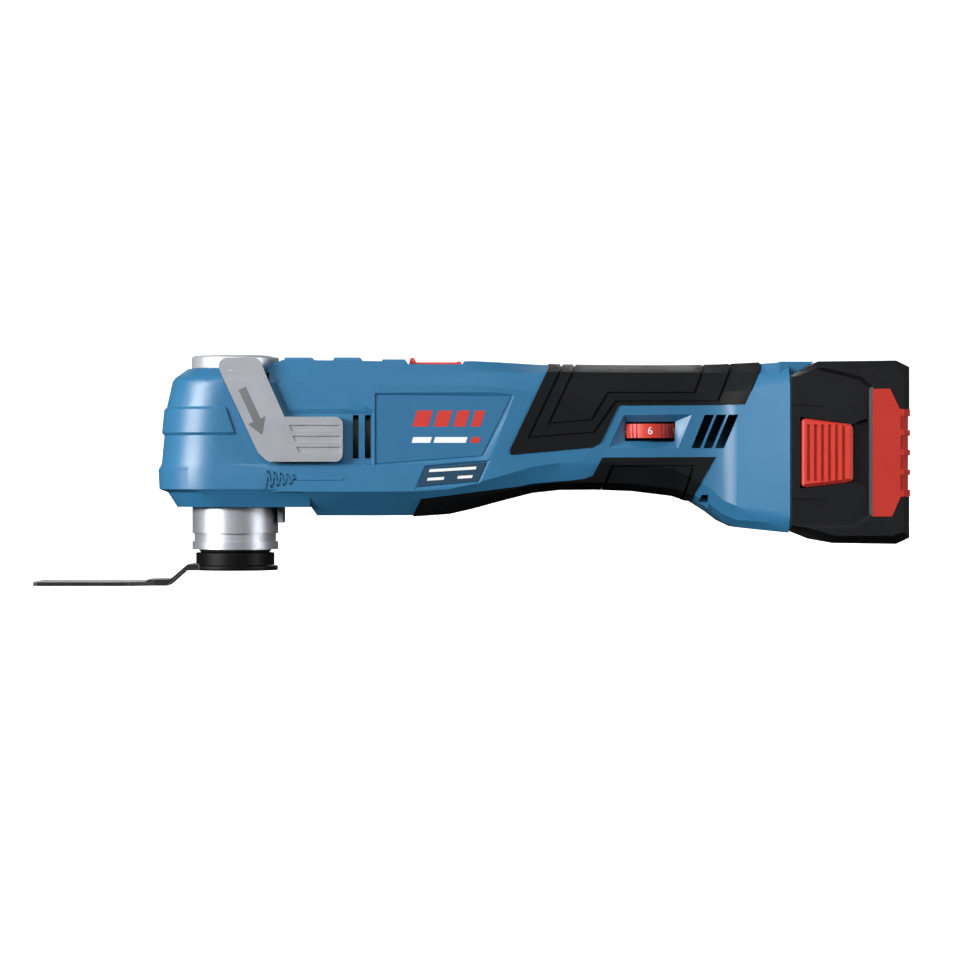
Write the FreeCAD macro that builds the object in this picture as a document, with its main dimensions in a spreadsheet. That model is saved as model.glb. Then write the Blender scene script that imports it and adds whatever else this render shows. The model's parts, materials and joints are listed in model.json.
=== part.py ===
import FreeCAD, Part

import math
import os

from FreeCAD import Placement, Rotation, Vector

# A cordless oscillating multi tool, in millimetres.  The origin lies on the output spindle's
# axis, at the tool holder's face.  +X runs from the blade back to the battery, -Y is the
# tool's left side and +Z is up.

X, Y, Z = Vector(1, 0, 0), Vector(0, 1, 0), Vector(0, 0, 1)
ORIGIN = Vector(0, 0, 0)
LEFT, RIGHT = -1, 1
SIDES = {"left": LEFT, "right": RIGHT}

SIZES = {
    # casing
    "wall": 2.6,
    "head_back": 33.0,
    "body_half_width": 26.0,
    "panel_half_width": 26.9,
    "grip_proud": 0.6,
    "grip_depth": 1.2,
    "groove_depth": 0.8,
    "groove_width": 1.1,
    "label_depth": 1.0,
    "label_thickness": 0.4,
    "screw_radius": 1.5,
    "screw_head_radius": 2.9,
    "boss_radius": 3.4,
    "fit": 0.02,
    "gap": 0.2,
    "slider_half_width": 7.5,
    # gear housing and spindle
    "collar_radius": 18.4,
    "collar_bottom": 1.3,
    "groove_bottom": 4.7,
    "groove_top": 8.1,
    "groove_radius": 17.5,
    "cap_radius": 18.7,
    "cap_bottom": 78.5,
    "cap_top": 84.1,
    "gear_bore": 15.6,
    "sleeve_radius": 18.0,
    "sleeve_end": 45.5,
    "spindle_radius": 7.46,
    "journal_radius": 4.96,
    "spindle_clearance": 0.04,
    "lower_bearing_radius": 16.0,
    "lower_bearing_bottom": 8.0,
    "lower_bearing_width": 9.0,
    "upper_bearing_radius": 13.0,
    "upper_bearing_bottom": 60.0,
    "upper_bearing_width": 8.0,
    "spindle_bottom": 1.3,
    "spindle_shoulder": 58.0,
    "spindle_top": 69.5,
    "holder_radius": 15.6,
    "holder_hub_radius": 14.4,
    "holder_top": 7.6,
    "holder_recess_radius": 6.9,
    "fork_clamp_radius": 12.0,
    "fork_inner": 10.2,
    "fork_outer": 13.5,
    "fork_end": 35.0,
    "fork_half_height": 4.5,
    "rod_radius": 2.5,
    "rod_bottom": 2.2,
    "rod_play": 0.06,
    "jaw_radius": 6.6,
    "jaw_top": -0.2,
    "jaw_gap": 2.8,
    "running": 0.05,
    # motor, lying along X
    "motor_height": 49.0,
    "shaft_radius": 4.0,
    "eccentricity": 1.0,
    "eccentric_radius": 4.98,
    "eccentric_start": 26.5,
    "eccentric_width": 6.0,
    "eccentric_bearing_radius": 8.0,
    "front_bearing_start": 38.0,
    "rear_bearing_start": 105.0,
    "bearing_width": 7.0,
    "bearing_radius": 11.0,
    "stator_radius": 22.0,
    "stator_bore": 14.2,
    "stator_start": 55.0,
    "stator_length": 32.0,
    "winding_radius": 20.0,
    "winding_bore": 15.0,
    "winding_length": 4.5,
    "front_shield_start": 47.6,
    "damper_width": 5.0,
    "rotor_radius": 13.7,
    "weight_start": 46.2,
    "weight_end": 49.4,
    "weight_radius": 9.0,
    "fan_start": 94.0,
    "fan_width": 8.0,
    "fan_radius": 20.0,
    "fan_hub_radius": 7.0,
    "fan_disc": 1.4,
    # tool-change lever
    "pivot_height": 74.0,
    "pivot_radius": 3.2,
    "cam_radius": 2.1,
    "cam_throw": 1.0,
    "cam_half_width": 5.0,
    "lever_gap": 0.3,
    "lever_thickness": 3.3,
    "lever_boss_start": 20.6,
    "lever_clearing": 16.0,
    "lever_pocket_floor": 19.2,
    "lever_recess": 25.2,
    # blade
    "hub_radius": 16.8,
    "hub_bore": 7.0,
    "brim_radius": 18.3,
    "brim_top": -5.6,
    "brim_bottom": -7.7,
    "blade_tip": -84.9,
    "blade_half_width": 17.0,
    "blade_top": -12.3,
    "blade_bottom": -14.2,
    "tooth_depth": 1.7,
    # speed dial
    "dial_x": 176.7,
    "dial_y": -15.0,
    "dial_height": 51.6,
    "dial_radius": 12.0,
    "dial_thickness": 6.0,
    "dial_bore": 3.05,
    # battery pack
    "pack_half_length": 58.5,
    "pack_wall": 2.4,
    "pack_inner_end": 40.0,
    "pack_board_x": 246.0,
    "pack_middle": 42.4,
    "face_depth": 1.2,
    "rib_height": 0.3,
    "button_proud": 0.4,
    "cell_radius": 10.5,
    "cell_length": 70.0,
    "cell_x": 263.2,
    "cell_pitch": 21.1,
    "stripe_thickness": 1.6,
}

doc = FreeCAD.newDocument("MultiTool")
sheet = doc.addObject("Spreadsheet::Sheet", "Size")
for row, (alias, value) in enumerate(SIZES.items(), start=1):
    sheet.set(f"A{row}", alias)
    sheet.set(f"B{row}", str(value))
    sheet.setAlias(f"B{row}", alias)
doc.recompute()

nodes = []


def size(alias):
    """The value that the sheet holds for a name."""
    return float(getattr(sheet, alias))


def node(solid, name):
    """Registers a finished object of the document as one sub-part."""
    solid.Label = name
    nodes.append(solid)
    return solid


def feature(shape, name):
    """A sub-part whose shape comes from Part's own functions."""
    solid = doc.addObject("Part::Feature", name + "_shape")
    solid.Shape = shape
    solid.Placement = Placement(ORIGIN, Rotation())
    return node(solid, name)


# --- primitives bound to the sheet ---------------------------------------------------------


def bound(kind, name, start, axis, **sizes):
    """A Part primitive whose sizes are expressions over the sheet."""
    solid = doc.addObject(kind, name)
    for field, expression in sizes.items():
        solid.setExpression(field, expression)
    solid.Placement = Placement(Vector(*start), Rotation(Z, axis))
    return solid


def cylinder(name, radius, length, start, axis=Z):
    """A cylinder from start along axis."""
    return bound("Part::Cylinder", name, start, axis, Radius=radius, Height=length)


def cut(name, base, *tools):
    """The base with each tool taken away."""
    for count, tool in enumerate(tools):
        step = doc.addObject("Part::Cut", f"{name}_cut{count}")
        step.Base, step.Tool = base, tool
        base = step
    return base


def ring(name, outer, inner, length, start, axis=Z):
    """A plain ring along axis, as one object."""
    hole = cylinder(name + "_hole", inner, length, start, axis)
    return cut(name, cylinder(name + "_rim", outer, length, start, axis), hole)


def padded(name, sketch_points, plane, length, start=ORIGIN):
    """A PartDesign body: a closed outline on one of its origin planes, padded by length."""
    body = doc.addObject("PartDesign::Body", name + "_body")
    sketch = body.newObject("Sketcher::SketchObject", name + "_sketch")
    planes = {feature.Role: feature for feature in body.Origin.OriginFeatures}
    sketch.AttachmentSupport = (planes[plane], [""])
    sketch.MapMode = "FlatFace"
    corners = [Vector(across, along, 0) for across, along in sketch_points]
    for first, second in zip(corners, corners[1:] + corners[:1]):
        sketch.addGeometry(Part.LineSegment(first, second), False)
    pad = body.newObject("PartDesign::Pad", name + "_pad")
    pad.Profile = sketch
    pad.setExpression("Length", length)
    body.Placement = Placement(Vector(*start), Rotation())
    return body


def rectangle(low, high):
    """The corners of an upright rectangle between two corners."""
    return [low, (high[0], low[1]), high, (low[0], high[1])]


# --- shapes for the casings ----------------------------------------------------------------


def wire(points):
    """A closed polygon through the points."""
    return Part.makePolygon(list(points) + [points[0]])


def side_prism(outline, low, high):
    """An outline of (x, z) points, drawn on the side of the tool, from Y = low to Y = high."""
    face = Part.Face(wire([Vector(x, low, z) for x, z in outline]))
    return face.extrude(Vector(0, high - low, 0))


def plan_prism(outline, low, high):
    """An outline of (x, y) points from Z = low to Z = high."""
    face = Part.Face(wire([Vector(x, y, low) for x, y in outline]))
    return face.extrude(Vector(0, 0, high - low))


def cross_prism(outline, low, high):
    """An outline of (y, z) points from X = low to X = high."""
    face = Part.Face(wire([Vector(low, y, z) for y, z in outline]))
    return face.extrude(Vector(high - low, 0, 0))


def tapered_prism(outer, inner, low, high, side):
    """A block between two outlines of (x, z) points, on one side of the tool."""
    wires = [wire([Vector(x, side * y, z) for x, z in outline])
             for outline, y in ((outer, low), (inner, high))]
    return Part.makeLoft(wires, True, True)


def grown(outline, distance):
    """The outline of (x, z) points moved outwards by distance, or inwards when negative."""
    closed = wire([Vector(x, 0, z) for x, z in outline])
    moved = closed.makeOffset2D(distance, 2)
    return [(point.Point.x, point.Point.z) for point in moved.OrderedVertexes]


def rounded(outline, radius):
    """An outline of (x, z) points with its outer corners rounded."""
    closed = wire([Vector(x, 0, z) for x, z in outline])
    soft = closed.makeOffset2D(-radius, 2).makeOffset2D(radius, 0)
    points = soft.discretize(Deflection=0.03)
    return [(point.x, point.z) for point in points[:-1]]


def box(low, high):
    """A plain box between two corners."""
    return Part.makeBox(*(b - a for a, b in zip(low, high)), Vector(*low))


def rod(radius, start, end):
    """A plain cylinder between two points."""
    start, end = Vector(*start), Vector(*end)
    return Part.makeCylinder(radius, (end - start).Length, start, end - start)


def upright(radius, low, high):
    """A cylinder on the spindle's axis, between two heights."""
    return rod(radius, (0, 0, low), (0, 0, high))


def coaxial(radius, start, end, lift=0.0):
    """A cylinder along the motor's axis, or lifted from it, between two stations."""
    height = size("motor_height") + lift
    return rod(radius, (start, 0, height), (end, 0, height))


def across(radius, half, x=0.0, z=0.0):
    """A cylinder across the tool, half to each side of the centre plane."""
    return rod(radius, (x, -half, z), (x, half, z))


# --- the casing's outer form ---------------------------------------------------------------

# Height, front and half width of the tiered head, from its floor up to the cap, and of the
# raised band that ends at a slant beside the lever.
HEAD_LEVELS = [
    (19.4, -24.8, 21.5), (25.6, -28.8, 25.0), (27.0, -32.5, 26.0), (35.2, -32.9, 26.0),
    (37.8, -31.5, 25.2), (49.4, -30.4, 25.1), (62.4, -29.2, 24.9), (73.0, -26.8, 24.4),
    (74.6, -25.6, 23.6), (78.4, -20.4, 19.4),
]
BAND_LEVELS = [(49.0, -29.6, 24.6), (51.1, -31.4, 25.9), (60.9, -30.4, 25.8), (62.8, -28.4, 24.4)]
BAND_SIDE = [(-40.0, 40.0), (4.8, 40.0), (1.8, 49.1), (-2.6, 62.3), (-6.4, 74.0), (-40.0, 74.0)]

# Stations along the body and handle: x, bottom, top, half width, top bevel, bottom bevel,
# and how round the bevels are, from 0 for flat to 1 for a quarter circle.
BODY_STATIONS = [
    (12.0, 15.8, 78.4, 24.6, 9.0, 10.2, 0.0), (21.0, 15.8, 81.9, 26.1, 10.0, 10.2, 0.0),
    (49.0, 15.8, 81.7, 26.1, 10.0, 10.2, 0.0), (60.0, 15.8, 81.4, 26.9, 10.0, 10.2, 0.0),
    (76.0, 15.9, 81.3, 26.9, 10.0, 10.2, 0.0),
    (92.0, 17.0, 81.3, 26.9, 10.5, 10.0, 0.2), (102.0, 19.3, 81.4, 26.9, 10.5, 10.0, 0.3),
    (113.0, 22.3, 80.9, 26.8, 11.0, 10.0, 0.5), (127.0, 25.9, 80.1, 25.6, 12.0, 10.5, 0.8),
    (139.0, 27.2, 79.6, 25.0, 12.0, 11.0, 1.0), (154.0, 27.3, 79.3, 24.8, 12.0, 11.0, 1.0),
    (170.0, 26.7, 79.2, 24.8, 12.0, 11.0, 1.0), (188.0, 24.5, 79.2, 25.0, 12.0, 11.0, 1.0),
    (195.0, 21.9, 79.3, 25.4, 12.0, 10.0, 1.0), (202.0, 17.5, 79.4, 26.2, 12.0, 10.0, 0.9),
    (207.5, 13.4, 79.5, 27.5, 12.0, 9.0, 0.8), (213.0, 10.9, 79.7, 30.0, 12.0, 9.0, 0.7),
    (225.0, 9.7, 79.9, 43.0, 12.0, 9.0, 0.5), (233.5, 8.9, 80.2, 52.0, 11.0, 8.0, 0.5),
]

UPPER_GRIP = [
    (134.1, 90.0), (134.1, 78.5), (117.5, 43.5), (117.9, 41.6), (152.2, 44.7), (155.8, 46.7),
    (163.5, 62.5), (215.9, 62.7), (222.6, 78.0), (222.6, 90.0),
]
LOWER_GRIP = [
    (76.6, 10.0), (76.6, 16.0), (80.1, 22.9), (96.6, 25.0), (124.8, 28.6), (149.0, 31.4),
    (152.6, 32.6), (156.6, 40.4), (204.0, 40.6), (193.3, 22.1), (190.0, 10.0),
]
LABEL = [(61.0, 37.6), (106.0, 41.0), (118.2, 66.2), (61.0, 66.7)]
LABEL_RIM = [(60.6, 37.2), (108.8, 38.9), (122.1, 68.0), (60.6, 67.6)]
PLATE_GAP = 0.15
BADGE = [(78.7, 27.9), (104.3, 30.2), (108.1, 38.6), (82.2, 36.1)]
LEVER_RECESS = [(7.5, 37.7), (59.4, 37.7), (59.4, 58.0), (57.0, 58.8), (23.6, 58.8),
                (17.2, 73.0), (-5.5, 73.0)]
LEVER_RECESS_RIM = [(7.1, 37.3), (60.1, 37.3), (60.1, 60.4), (57.0, 62.8), (26.2, 62.3),
                    (21.2, 73.4), (-5.9, 73.4)]
UNDERCUT = [(-20.0, 26.0), (29.3, 26.0), (36.0, 15.5), (36.0, 0.0), (-20.0, 0.0)]
LANYARD_NOTCH = [(196.9, 20.4), (201.4, 18.6), (201.4, 24.6), (198.6, 24.6)]
LANYARD_FLOOR = 18.5
FOOT_LIP_HALF = 44.0
FOOT_LIP = [(230.0, 74.9), (233.6, 74.9), (237.4, 76.1), (244.4, 80.25), (230.0, 80.25)]
DIAL_WINDOW = rectangle((166.8, 47.8), (186.7, 55.0))
DIAL_RECESS = [(158.6, 44.2), (188.5, 44.2), (194.4, 58.5), (165.6, 58.5)]
DIAL_RECESS_SURFACE, DIAL_RECESS_FLOOR = 25.0, 22.2
TOP_FACE = 81.0
TOP_RIBS = [(22.1, 33.4, 83.0), (43.0, 54.0, 83.0), (63.5, 73.2, 82.2)]
FRONT_SLOTS = [(51.3, 53.8), (56.4, 58.9)]
FRONT_SLOT_BOTTOM, FRONT_SLOT_TOP = 40.0, 58.3
SLOT_INNER_END = 20.0
REAR_SLOT = [(194.2, 44.3), (198.0, 44.3), (203.9, 58.4), (199.8, 58.4)]
REAR_SLOT_PITCH = 4.93
REAR_SLOTS = 3
SLIDER_SLOT = (74.0, 98.0)
SLIDER_FLOOR = 80.0
SLIDER_HALF_WIDTH = 8.2
SCREWS = [(30.0, 76.0), (70.0, 21.5), (122.0, 60.0), (160.0, 67.5), (200.0, 33.0), (212.0, 68.5)]
SCREW_HEAD_Y, SCREW_TIP_Y = 18.0, -15.0
SCREW_HEAD_HEIGHT = 2.4
BOSS_HALF = 30.0
HEAD_FLOOR_TOP = 21.4
FOOT_WALL_START = 223.4
BAFFLE = rectangle((190.0, 30.0), (213.5, 70.0))
BAFFLE_HALF = 1.2
# Distances that reach past every surface, across the tool and along it.
BEYOND = 80.0
FAR = 320.0


def tiers(levels, growth=0.0):
    """D-shaped plans, a half circle in front and straight sides, one over another."""
    plans = []
    for height, front, half in levels:
        half, front = half + growth, front - growth
        centre = front + half
        back = size("head_back") + growth
        nose = Part.Arc(Vector(centre, half, height), Vector(front, 0, height),
                        Vector(centre, -half, height)).toShape()
        sides = Part.makePolygon([Vector(centre, -half, height), Vector(back, -half, height),
                                  Vector(back, half, height), Vector(centre, half, height)])
        plans.append(Part.Wire([nose] + sides.Edges))
    return Part.makeLoft(plans, True, True)


def body_section(station, growth):
    """One cross section of the body: an upright box whose corners are bevelled or rounded."""
    x, bottom, top, half, top_bevel, bottom_bevel, roundness = station
    half, top, bottom = half + growth, top + growth, bottom - growth
    middle = 0.5 - (math.sqrt(0.5) - 0.5) * roundness
    right = []
    for edge, bevel, inwards in ((bottom, bottom_bevel, 1), (top, top_bevel, -1)):
        corner = [(half - bevel, edge), (half - middle * bevel, edge + inwards * middle * bevel),
                  (half, edge + inwards * bevel)]
        right += corner if inwards == 1 else corner[::-1]
    left = [(-y, z) for y, z in reversed(right)]
    return wire([Vector(x, y, z) for y, z in right + left])


def body_solid(growth=0.0):
    """The body, handle and foot, grown by a distance or shrunk by a negative one."""
    body = Part.makeLoft([body_section(station, growth) for station in BODY_STATIONS], True, True)
    return body.cut(side_prism(grown(UNDERCUT, -growth), -BEYOND, BEYOND))


def head_solid(growth=0.0):
    """The head with its raised band."""
    band = tiers(BAND_LEVELS, growth).common(side_prism(BAND_SIDE, -BEYOND, BEYOND))
    return tiers(HEAD_LEVELS, growth).fuse(band)


def halved(solid, side):
    """The part of a solid on one side of the centre plane."""
    low, high = (-BEYOND, 0) if side == LEFT else (0, BEYOND)
    keep = box((-BEYOND, low, -BEYOND), (FAR, high, FAR))
    return solid.common(keep)


def both_sides(outline, low, high):
    """A side outline between two distances from the centre plane, on both sides."""
    return [side_prism(outline, side * low, side * high) for side in (LEFT, RIGHT)]


def top_rib(start, end, top):
    """A raised cross rib on the top of the motor housing, bevelled all round."""
    base, foot_half, crown_half = 78.0, 16.5, 14.5
    rise = top - TOP_FACE
    lengthwise = [(start - rise, base), (start, top), (end, top), (end + rise, base)]
    crosswise = [(-foot_half, base), (-crown_half, top), (crown_half, top), (foot_half, base)]
    return side_prism(lengthwise, -foot_half, foot_half).common(
        cross_prism(crosswise, start - rise, end + rise))


def lever_clearing(side):
    """The pocket in the casing that the lever's upper end swings through."""
    pivot = size("pivot_height")
    reach = size("lever_clearing")
    start, end = math.radians(-50), math.radians(161)
    steps = 16
    angles = [start + (end - start) * count / steps for count in range(steps + 1)]
    arc = [(reach * math.sin(angle), pivot + reach * math.cos(angle)) for angle in angles]
    return side_prism([(0.0, pivot)] + arc, side * size("lever_pocket_floor"), side * BEYOND)


def grip_volume(outline):
    """The space of a rubber grip: a skin that stands proud of the casing."""
    skin = body_solid(size("grip_proud")).cut(body_solid(-size("grip_depth")))
    return side_prism(outline, -BEYOND, BEYOND).common(skin)


def grip_grooves(outlines):
    """Thin walls along outlines, that cut grooves into a grip."""
    width = size("groove_width")
    return [side_prism(grown(line, width / 2), -BEYOND, BEYOND).cut(
        side_prism(grown(line, -width / 2), -BEYOND, BEYOND)) for line in outlines]


OUTER_GROOVE = [(139.8, 95.0), (139.8, 78.5), (125.6, 48.6), (153.0, 50.7), (162.3, 63.8),
                (205.3, 63.8), (211.1, 78.5), (211.1, 95.0)]
INNER_GROOVE = [(145.3, 95.0), (145.3, 78.5), (134.1, 54.5), (152.2, 56.0), (159.0, 67.5),
                (195.6, 67.5), (199.8, 78.5), (199.8, 95.0)]
LOWER_GROOVE = [(146.0, 0.0), (161.0, 36.5), (195.0, 36.5), (184.0, 0.0)]


def screw_holes():
    """The counterbores above the screws' heads."""
    radius = size("screw_head_radius") + size("gap")
    return [rod(radius, (x, SCREW_HEAD_Y, z), (x, BEYOND, z)) for x, z in SCREWS]


def casing():
    """Both casing halves as one hollow solid, before it is parted along the centre plane."""
    head, body = head_solid(), body_solid()
    outer = head.fuse([body] + [top_rib(*rib) for rib in TOP_RIBS]
                      + [side_prism(FOOT_LIP, -FOOT_LIP_HALF, FOOT_LIP_HALF)])
    wall = size("wall")
    head_hollow = tiers(HEAD_LEVELS, -wall).cut(
        box((-BEYOND, -BEYOND, 0), (BEYOND, BEYOND, HEAD_FLOOR_TOP)))
    hollow = head_hollow.fuse(body_solid(-wall)).cut(
        box((FOOT_WALL_START, -BEYOND, 0), (FAR, BEYOND, FAR)))
    bosses = Part.makeCompound([rod(size("boss_radius"), (x, -BOSS_HALF, z), (x, BOSS_HALF, z))
                                for x, z in SCREWS]).common(body)
    baffle = side_prism(BAFFLE, -BAFFLE_HALF, BAFFLE_HALF).common(body)
    shell = outer.cut(hollow).fuse(bosses.Solids + [baffle, rail_block()])
    return shell.cut(casing_openings())


def label_floor():
    """How far from the centre plane the label plates and badges lie."""
    return size("panel_half_width") - size("label_depth")


def side_recess(outline, flare, floor, side):
    """A recess whose walls slope outwards at 45 degrees from its floor."""
    return tapered_prism(outline, grown(outline, flare), floor, floor + flare, side)


def vent_openings():
    """The upright slots in front of the label and the slanted ones behind the dial."""
    openings = []
    for low, high in FRONT_SLOTS:
        slot = rectangle((low, FRONT_SLOT_BOTTOM), (high, FRONT_SLOT_TOP))
        openings += both_sides(slot, SLOT_INNER_END, BEYOND)
    for count in range(REAR_SLOTS):
        slot = [(x + count * REAR_SLOT_PITCH, z) for x, z in REAR_SLOT]
        openings += both_sides(slot, SLOT_INNER_END - 3.0, BEYOND)
    return openings


def dial_openings():
    """The dial's window and the sloping recess round it, in the left side only."""
    return [
        tapered_prism(grown(DIAL_WINDOW, 0.4), DIAL_RECESS, DIAL_RECESS_FLOOR,
                      DIAL_RECESS_SURFACE, LEFT),
        side_prism(DIAL_RECESS, -DIAL_RECESS_SURFACE, -BEYOND),
        side_prism(DIAL_WINDOW, -size("dial_radius") - 3.0, -BEYOND),
    ]


def switch_openings():
    """The trough for the slide switch, its running space in front, and the hole for its stem."""
    start, end = SLIDER_SLOT
    trough = [(start - 0.4, 84.0), (start, SLIDER_FLOOR), (end - 0.6, SLIDER_FLOOR),
              (end + 2.2, 84.0)]
    return [
        side_prism(trough, -BOSS_HALF, BOSS_HALF),
        box((67.3, -SLIDER_HALF_WIDTH, SLIDER_FLOOR), (start + 1, SLIDER_HALF_WIDTH, 90.0)),
        box((76.5, -3.2, 70.0), (90.8, 3.2, 90.0)),
    ]


def casing_openings():
    """Everything that is taken out of the casing's walls."""
    gap, pivot, panel = size("gap"), size("pivot_height"), size("panel_half_width")
    openings = [
        upright(size("collar_radius") + gap / 2, 10, 30),
        upright(size("cap_radius") + gap / 2, 70, 90),
        across(size("pivot_radius") + 2 * gap, BEYOND, z=pivot),
    ]
    openings += vent_openings() + dial_openings() + switch_openings() + screw_holes()
    for side in (LEFT, RIGHT):
        openings += [
            lever_clearing(side),
            tapered_prism(LEVER_RECESS, LEVER_RECESS_RIM, size("lever_recess"), panel, side),
            tapered_prism(LABEL, LABEL_RIM, label_floor(), panel, side),
            side_recess(BADGE, 1.2, label_floor(), side),
            side_prism(LANYARD_NOTCH, side * LANYARD_FLOOR, side * BEYOND),
        ]
    radius = size("screw_radius") + size("fit")
    openings += [rod(radius, (x, SCREW_TIP_Y - 1, z), (x, SCREW_HEAD_Y + 1, z)) for x, z in SCREWS]
    return openings


# --- the rail that the battery slides on ---------------------------------------------------

RAIL_NECK = rectangle((232.0, 27.0), (236.4, 58.0))
RAIL_HEAD = rectangle((236.2, 23.0), (240.4, 62.0))
RAIL_START, RAIL_END = -40.0, 48.0
RAIL_CLEARANCE = 0.1


def rail_block(growth=0.0, start=RAIL_START, end=RAIL_END):
    """The foot's T-shaped rail, or, grown by the clearance, the channel round it."""
    return side_prism(grown(RAIL_NECK, growth) if growth else RAIL_NECK, start, end).fuse(
        side_prism(grown(RAIL_HEAD, growth) if growth else RAIL_HEAD, start, end))


def build_casing():
    """The two casing halves and their grips."""
    upper, lower = grip_volume(UPPER_GRIP), grip_volume(LOWER_GRIP)
    floor_skin = body_solid(size("grip_proud") - size("groove_depth"))
    upper_lines = [line.cut(floor_skin) for line in grip_grooves([OUTER_GROOVE, INNER_GROOVE])]
    lower_lines = [line.cut(floor_skin) for line in grip_grooves([LOWER_GROOVE])]
    pieces = {
        "housing": casing().cut([upper, lower]),
        "upper_grip": upper.cut(screw_holes() + upper_lines),
        "lower_grip": lower.cut(screw_holes() + lower_lines),
    }
    for piece, solid in pieces.items():
        for name, side in SIDES.items():
            feature(halved(solid, side), f"{piece}_{name}")


def build_plates():
    """The label plates and badges in their recesses."""
    floor = label_floor()
    top = floor + size("label_thickness")
    for piece, outline in (("label_plate", LABEL), ("badge", BADGE)):
        for name, side in SIDES.items():
            plate = side_prism(grown(outline, -PLATE_GAP), side * floor, side * top)
            feature(plate, f"{piece}_{name}")


def build_screws():
    """The screws that hold the casing halves together, driven in from the right."""
    screws = []
    for x, z in SCREWS:
        head = rod(size("screw_head_radius"), (x, SCREW_HEAD_Y, z),
                   (x, SCREW_HEAD_Y + SCREW_HEAD_HEIGHT, z))
        screws.append(head.fuse(rod(size("screw_radius"), (x, SCREW_TIP_Y, z),
                                    (x, SCREW_HEAD_Y, z))))
    feature(Part.makeCompound(screws), "housing_screws")


# --- gear housing, spindle and tool change --------------------------------------------------


CAP_ROUNDING, CAP_BORE, CAP_THICKNESS = 1.5, 12.5, 2.5


def build_gear_housing():
    """The die-cast gear housing with its visible collar, and the round cap on top."""
    radius, bore, fit = size("collar_radius"), size("gear_bore"), size("fit")
    top, pivot = size("cap_bottom"), size("pivot_height")
    lower, upper = size("lower_bearing_bottom"), size("upper_bearing_bottom")
    lower_top = lower + size("lower_bearing_width")
    lip = 2.0
    front = size("front_bearing_start")
    shape = upright(radius, size("collar_bottom"), top).fuse(
        coaxial(size("sleeve_radius"), 0, size("sleeve_end")))
    groove = upright(radius + 1, size("groove_bottom"), size("groove_top")).cut(
        upright(size("groove_radius"), 0, lower_top))
    hollows = [
        groove,
        upright(size("holder_hub_radius") + 0.5, 0, lower + lip),
        upright(size("lower_bearing_radius") + fit, lower, lower_top),
        upright(bore - 0.6, lower_top, lower_top + lip),
        upright(bore, lower_top + lip, upper - lip),
        upright(size("upper_bearing_radius") - lip, upper - 2 * lip, upper),
        upright(size("upper_bearing_radius") + fit, upper, top + lip),
        coaxial(bore, 0, front - 1),
        coaxial(size("bearing_radius") - 1.6, front - lip, front + 1),
        coaxial(size("bearing_radius") + fit, front, size("sleeve_end") + lip),
        across(size("pivot_radius") + size("running"), BEYOND, z=pivot),
    ]
    feature(shape.cut(hollows), "gear_housing")
    crown = size("cap_top")
    cap = upright(size("cap_radius"), top, crown)
    rim = [edge for edge in cap.Edges if abs(edge.BoundBox.ZMin - crown) < size("fit")]
    cap = cap.makeFillet(CAP_ROUNDING, rim)
    feature(cap.cut(upright(CAP_BORE, top - 1, crown - CAP_THICKNESS)), "gear_housing_cap")


def build_spindle():
    """The output spindle, its bearings, the rocker fork and the tool holder."""
    node(ring("lower_bearing", "Size.lower_bearing_radius",
              "Size.spindle_radius + Size.spindle_clearance", "Size.lower_bearing_width",
              (0, 0, size("lower_bearing_bottom"))), "spindle_bearing_lower")
    node(ring("upper_bearing", "Size.upper_bearing_radius",
              "Size.journal_radius + Size.spindle_clearance", "Size.upper_bearing_width",
              (0, 0, size("upper_bearing_bottom"))), "spindle_bearing_upper")
    bottom, shoulder = size("spindle_bottom"), size("spindle_shoulder")
    body = upright(size("spindle_radius"), bottom, shoulder).fuse(
        upright(size("journal_radius"), shoulder, size("spindle_top")))
    feature(body.cut(upright(size("rod_radius") + size("running"), 0, BEYOND)), "output_spindle")
    bore = size("spindle_radius") + size("fit")
    motor, half = size("motor_height"), size("fork_half_height")
    inner, outer = size("fork_inner"), size("fork_outer")
    root, bridge_end, low, high = 8.0, 13.0, motor - half, motor + half
    clamp = upright(size("fork_clamp_radius"), motor - 7, motor + 7)
    prongs = [box((root, inner, low), (size("fork_end"), outer, high)),
              box((root, -outer, low), (size("fork_end"), -inner, high)),
              box((root, -outer, low), (bridge_end, outer, high))]
    feature(clamp.fuse(prongs).cut(upright(bore, 0, BEYOND)), "rocker_fork")
    face = Part.makeCone(size("holder_radius") - 0.8, size("holder_radius"), bottom - 0.1)
    hub = upright(size("holder_hub_radius"), bottom - 0.1, size("holder_top"))
    feature(hub.fuse(face).cut([upright(bore, bottom, BEYOND),
                                upright(size("holder_recess_radius"), -1, bottom)]), "tool_holder")


def build_clamp():
    """The push rod, the two jaws that hold the blade's hub from inside, and their springs."""
    cam_low = size("pivot_height") - size("cam_radius") - size("cam_throw") * math.cos(CAM_START)
    feature(upright(size("rod_radius"), size("rod_bottom"), cam_low - size("rod_play")), "push_rod")
    half_gap, reach = size("jaw_gap") / 2, size("jaw_radius") + 1
    disc = upright(size("jaw_radius"), -size("jaw_radius"), size("jaw_top"))
    for name, side in (("front", -1), ("rear", 1)):
        start, end = sorted((side * half_gap, side * reach))
        keep = box((start, -reach, -reach), (end, reach, reach))
        feature(disc.common(keep), "clamp_jaw_" + name)
    hole = upright(size("rod_radius") + 0.1, size("spindle_shoulder"), BEYOND)
    wide, narrow, height = 5.6, 3.2, 0.8
    base, fit = size("spindle_top"), size("fit")
    springs = [Part.makeCone(wide, narrow, height, Vector(0, 0, low)).cut(hole)
               for low in (base + fit, base + 2 * fit + height)]
    feature(Part.makeCompound(springs), "clamp_springs")


# The cam's centre starts 129 degrees round from straight down, so that a 78 degree swing of
# the lever moves it evenly about its steepest point.
CAM_START = math.radians(129.0)

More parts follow.
